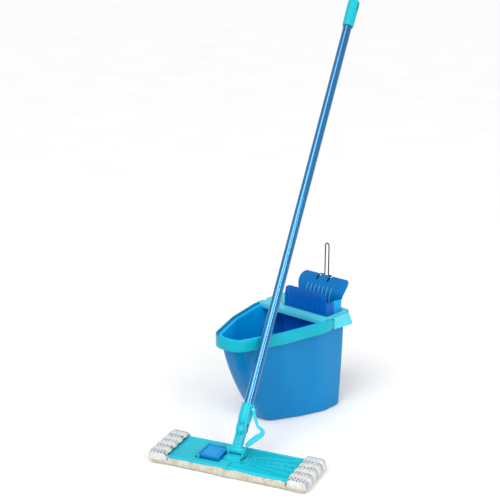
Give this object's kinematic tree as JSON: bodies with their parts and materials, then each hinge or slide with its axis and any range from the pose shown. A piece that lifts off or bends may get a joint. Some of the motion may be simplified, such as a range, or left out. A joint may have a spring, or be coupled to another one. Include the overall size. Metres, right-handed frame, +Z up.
{
  "type": "mop and bucket set",
  "caption": "Flat mop with a fold-down pad frame and long tubular handle, leaning on an oval bucket with a carrying handle and a lift-out wringer.",
  "frame": {"origin": "centre of the bucket's flat base, on the floor", "axes": "+X from the bucket's narrow nose towards its wringer end, +Z up, +Y across the bucket, away from the mop's long visible side"},
  "size_m": [0.8204, 0.4386, 0.9726],
  "materials": {
    "blue_plastic": "smooth glossy injection moulding",
    "deep_blue_plastic": "smooth glossy injection moulding",
    "wringer_blue_plastic": "smooth glossy injection moulding",
    "teal_plastic": "satin injection moulding",
    "blue_tube": "glossy metallic blue coating",
    "steel": "plain steel",
    "black_wire": "black coated wire",
    "terry": "looped cotton terry"
  },
  "bodies": {
    "bucket": {"bucket_shell": "blue_plastic", "wringer_collar": "teal_plastic", "bail_pin_near": "deep_blue_plastic", "bail_pin_far": "deep_blue_plastic"},
    "bail": {"bail_handle": "teal_plastic"},
    "wringer": {"wringer_front": "deep_blue_plastic", "wringer_back": "wringer_blue_plastic", "wringer_clip_near": "deep_blue_plastic", "wringer_clip_far": "deep_blue_plastic"},
    "wire": {"wire_loop": "black_wire"},
    "mop_centre": {"centre_block": "teal_plastic", "wing_pin_left": "steel", "wing_pin_right": "steel", "tilt_pin": "steel", "pad_middle": "terry"},
    "left_wing": {"wing_left": "teal_plastic", "pad_left": "terry", "pedal_pin": "steel", "pedal_spring": "steel"},
    "right_wing": {"wing_right": "teal_plastic", "pad_right": "terry"},
    "pedal": {"foot_pedal": "blue_plastic"},
    "mop_yoke": {"yoke": "teal_plastic"},
    "handle": {"socket": "teal_plastic", "swing_pin": "teal_plastic", "swing_cap": "teal_plastic", "tube": "blue_tube", "tube_screw": "steel", "end_cap": "teal_plastic", "lock_pin": "steel"},
    "lock": {"lock_arm": "teal_plastic"}
  },
  "joints": [
    {"name": "mop_lift", "type": "slide", "parent": "bucket", "child": "mop_centre", "axis": [0, 0, 1], "range_m": [0, 0.35]},
    {"name": "bail_swing", "type": "hinge", "parent": "bucket", "child": "bail", "pos_m": [0.032, 0, 0.2325], "axis": [0, 1, 0], "range_deg": [0, 84]},
    {"name": "wringer_lift", "type": "slide", "parent": "bucket", "child": "wringer", "axis": [0, 0, 1], "range_m": [0, 0.12]},
    {"name": "wire_swing", "type": "hinge", "parent": "wringer", "child": "wire", "pos_m": [0.13591, -0.015, 0.31516], "axis": [0, 1, 0], "range_deg": [0, 90]},
    {"name": "left_wing_fold", "type": "hinge", "parent": "mop_centre", "child": "left_wing", "pos_m": [-0.3303, -0.10181, 0.0185], "axis": [-0.9539, -0.3, 0], "range_deg": [0, 78], "deforming": ["pad_middle"]},
    {"name": "right_wing_fold", "type": "hinge", "parent": "mop_centre", "child": "right_wing", "pos_m": [-0.3171, -0.14379, 0.0185], "axis": [0.9539, 0.3, 0], "range_deg": [0, 78], "deforming": ["pad_middle"]},
    {"name": "pedal_press", "type": "hinge", "parent": "left_wing", "child": "pedal", "pos_m": [-0.34755, -0.04696, 0.0215], "axis": [0.9539, 0.3, 0], "range_deg": [0, 2], "stiffness_Nm_per_rad": 4, "springref_deg": -2.86, "deforming": ["pedal_spring"]},
    {"name": "handle_tilt", "type": "hinge", "parent": "mop_centre", "child": "mop_yoke", "pos_m": [-0.3237, -0.1228, 0.04], "axis": [0.3, -0.9539, 0], "range_deg": [0, 85]},
    {"name": "handle_swing", "type": "hinge", "parent": "mop_yoke", "child": "handle", "pos_m": [-0.29594, -0.11407, 0.07691], "axis": [0.7491, 0.2356, -0.6191], "range_deg": [0, 35]},
    {"name": "lock_release", "type": "hinge", "parent": "handle", "child": "lock", "pos_m": [-0.27185, -0.12693, 0.12104], "axis": [-0.7491, -0.2356, 0.6191], "range_deg": [0, 20]}
  ],
  "couplings": [
    {"joint": "bail_swing", "follows": "mop_lift", "rad_per_m": 4.188}
  ]
}
